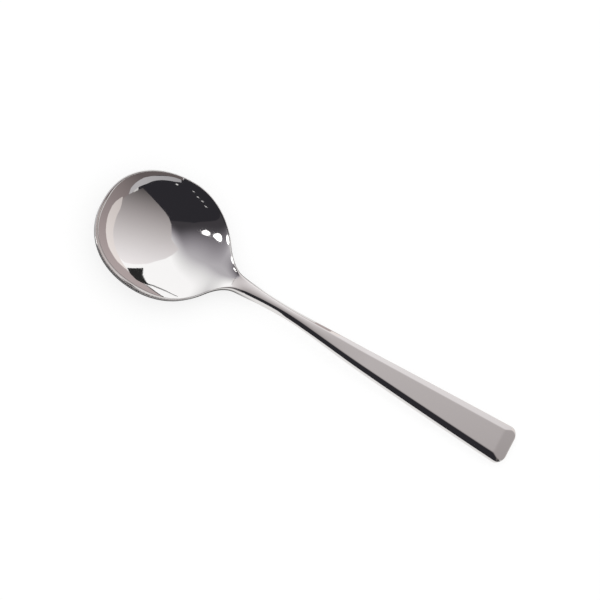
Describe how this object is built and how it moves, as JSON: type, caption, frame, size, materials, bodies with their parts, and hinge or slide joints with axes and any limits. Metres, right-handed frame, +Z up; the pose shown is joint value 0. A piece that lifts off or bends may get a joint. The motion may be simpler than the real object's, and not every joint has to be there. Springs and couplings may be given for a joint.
{
  "type": "soup spoon",
  "caption": "Round bowl soup spoon in polished steel with a slim rounded neck and a flat handle that widens to a bevelled square end.",
  "frame": {"origin": "on the table, under the middle of the spoon's length", "axes": "+X along the spoon from the bowl's tip to the handle's end, +Y across, +Z up with the bowl open upward"},
  "size_m": [0.17, 0.0456, 0.0103],
  "materials": {
    "polished_steel": "mirror polished"
  },
  "bodies": {
    "root": {"bowl": "polished_steel", "neck": "polished_steel", "handle": "polished_steel"}
  },
  "joints": []
}
